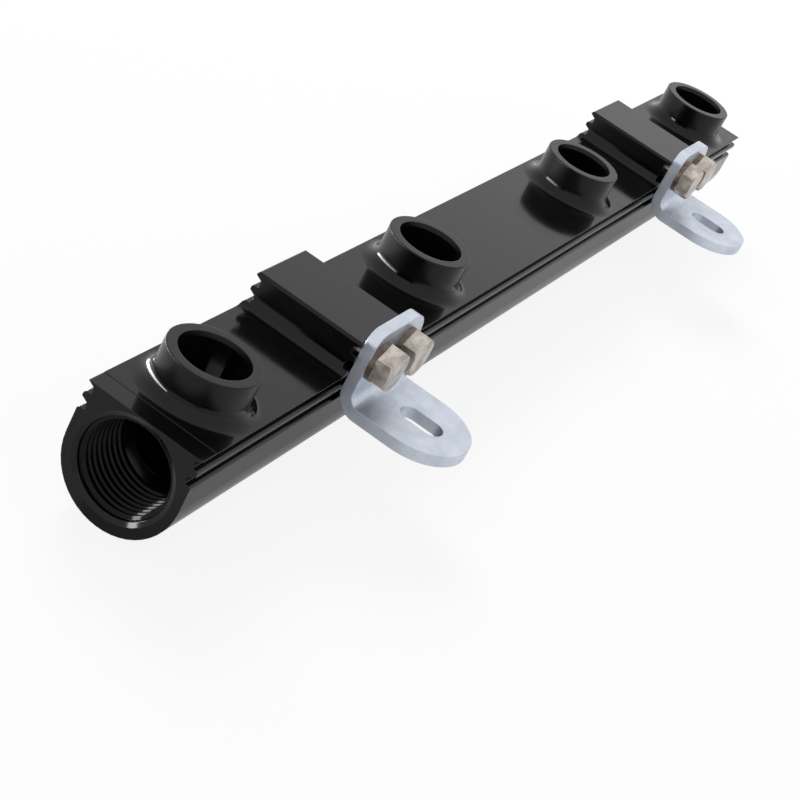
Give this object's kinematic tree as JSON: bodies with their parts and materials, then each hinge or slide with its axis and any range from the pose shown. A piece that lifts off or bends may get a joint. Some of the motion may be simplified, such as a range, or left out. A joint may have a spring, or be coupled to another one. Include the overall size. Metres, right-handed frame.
{
  "type": "fuel rail",
  "caption": "Black anodised extruded fuel rail with round injector bosses, toothed sides, threaded end ports and bolted slotted brackets that hold it to an intake manifold.",
  "frame": {"origin": "centre of the near port's mouth, on the gallery axis", "axes": "+X along the gallery from the near port to the far port, +Z towards the injector bosses, the brackets on the -Y side"},
  "size_m": [0.2978, 0.0491, 0.0337],
  "materials": {
    "black_anodised": "bright black anodised",
    "zinc_sheet": "pale zinc plate",
    "bolt_steel": "plated steel, warm grey",
    "washer_steel": "darker plated spring steel"
  },
  "bodies": {
    "root": {"rail_body": "black_anodised", "near_bracket": "zinc_sheet", "near_bracket_bolt_front": "bolt_steel", "near_bracket_washer_front": "washer_steel", "near_bracket_bolt_rear": "bolt_steel", "near_bracket_washer_rear": "washer_steel", "far_bracket": "zinc_sheet", "far_bracket_bolt_front": "bolt_steel", "far_bracket_washer_front": "washer_steel", "far_bracket_bolt_rear": "bolt_steel", "far_bracket_washer_rear": "washer_steel"}
  },
  "joints": []
}
